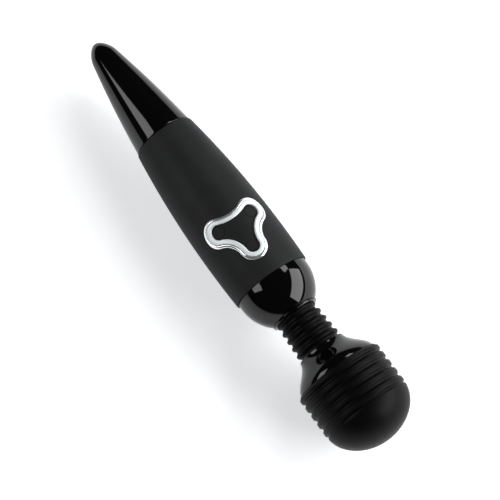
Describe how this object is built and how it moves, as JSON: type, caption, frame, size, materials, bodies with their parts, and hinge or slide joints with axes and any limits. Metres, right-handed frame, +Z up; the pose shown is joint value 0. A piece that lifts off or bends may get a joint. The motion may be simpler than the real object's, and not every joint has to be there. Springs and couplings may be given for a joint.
{
  "type": "wand massager",
  "caption": "Cordless wand massager with a ribbed round rubber head on a flexible neck, a soft grip with a three-lobed control pad, and a screw-on tail cone.",
  "frame": {"origin": "on the surface it lies on, under the middle of its length, on the long axis", "axes": "+X along the long axis towards the massage head, +Z up through the control pad, +Y to the left when looking towards the head"},
  "size_m": [0.266, 0.0496, 0.0496],
  "materials": {
    "soft_touch_black": "soft-touch matte",
    "key_black": "soft-touch matte",
    "gloss_black": "high gloss",
    "rubber_black": "satin moulded rubber",
    "bezel_chrome": "polished plated",
    "seal_rubber": "satin",
    "inner_plastic": "fine spark-eroded",
    "bright_steel": "zinc plated",
    "cell_jacket": "printed foil, plain",
    "contact_brass": "plated",
    "board_green": "solder mask",
    "component_black": "moulded epoxy",
    "plunger_orange": "moulded",
    "lead_red": "extruded insulation",
    "motor_steel": "drawn",
    "winding_copper": "enamelled wire",
    "bell_ivory": "moulded"
  },
  "bodies": {
    "handle": {"grip_sleeve": "soft_touch_black", "handle_shell_upper": "inner_plastic", "handle_shell_lower": "inner_plastic", "rear_collar": "inner_plastic", "shell_screws": "bright_steel", "control_bezel": "bezel_chrome", "keypad_plate": "soft_touch_black", "circuit_board": "board_green", "board_parts": "component_black", "board_screws": "bright_steel", "tact_switches": "component_black", "battery_holder": "inner_plastic", "cell_contacts": "contact_brass", "battery_bulkhead": "inner_plastic", "front_contacts": "contact_brass", "battery_leads": "lead_red", "motor_leads_rear": "lead_red", "shoulder_dome": "gloss_black", "neck_clamp_rear": "inner_plastic", "battery_cell_1": "cell_jacket", "battery_cell_2": "cell_jacket", "battery_cell_3": "cell_jacket"},
    "key_power": {"key_power": "key_black", "switch_plunger_power": "plunger_orange"},
    "key_plus": {"key_plus": "key_black", "switch_plunger_plus": "plunger_orange"},
    "key_minus": {"key_minus": "key_black", "switch_plunger_minus": "plunger_orange"},
    "contact_disc": {"contact_disc": "board_green", "contact_leaves": "contact_brass", "swivel_rivet": "bright_steel"},
    "tail_cap": {"tail_cap": "gloss_black", "cap_seal": "seal_rubber"},
    "neck": {"flex_neck": "rubber_black", "neck_spring": "bright_steel", "neck_leads": "lead_red"},
    "head": {"neck_clamp_front": "inner_plastic", "head_collar": "gloss_black", "head_core": "inner_plastic", "massage_cap": "rubber_black", "motor_bracket": "inner_plastic", "motor_screws": "bright_steel", "motor_can": "motor_steel", "motor_end_bell": "bell_ivory", "motor_magnets": "motor_steel", "motor_leads_front": "lead_red"},
    "rotor": {"motor_shaft": "bright_steel", "motor_rotor": "winding_copper", "eccentric_weight": "motor_steel"}
  },
  "joints": [
    {"name": "neck_pitch", "type": "hinge", "parent": "handle", "child": "neck", "pos_m": [0.05874, 0, 0.0248], "axis": [0, 1, 0], "range_deg": [-20, 20], "stiffness_Nm_per_rad": 1.5, "deforming": ["flex_neck", "neck_spring", "neck_leads"]},
    {"name": "neck_yaw", "type": "hinge", "parent": "neck", "child": "head", "pos_m": [0.06961, 0, 0.0248], "axis": [0, 0, 1], "range_deg": [-20, 20], "stiffness_Nm_per_rad": 1.5},
    {"name": "motor_spin", "type": "hinge", "parent": "head", "child": "rotor", "pos_m": [0.1139, 0, 0.0248], "axis": [1, 0, 0], "continuous": true},
    {"name": "press_power", "type": "slide", "parent": "handle", "child": "key_power", "axis": [0, 0, -1], "range_m": [0, 0.0007], "stiffness_N_per_m": 900},
    {"name": "press_plus", "type": "slide", "parent": "handle", "child": "key_plus", "axis": [0, 0, -1], "range_m": [0, 0.0007], "stiffness_N_per_m": 900},
    {"name": "press_minus", "type": "slide", "parent": "handle", "child": "key_minus", "axis": [0, 0, -1], "range_m": [0, 0.0007], "stiffness_N_per_m": 900},
    {"name": "cap_slide", "type": "slide", "parent": "handle", "child": "contact_disc", "axis": [-1, 0, 0], "range_m": [0, 0.012]},
    {"name": "cap_turn", "type": "hinge", "parent": "contact_disc", "child": "tail_cap", "pos_m": [-0.0669, 0, 0.0248], "axis": [-1, 0, 0], "range_deg": [0, 1080]}
  ],
  "couplings": [
    {"joint": "cap_turn", "follows": "cap_slide", "rad_per_m": 1570.8}
  ]
}
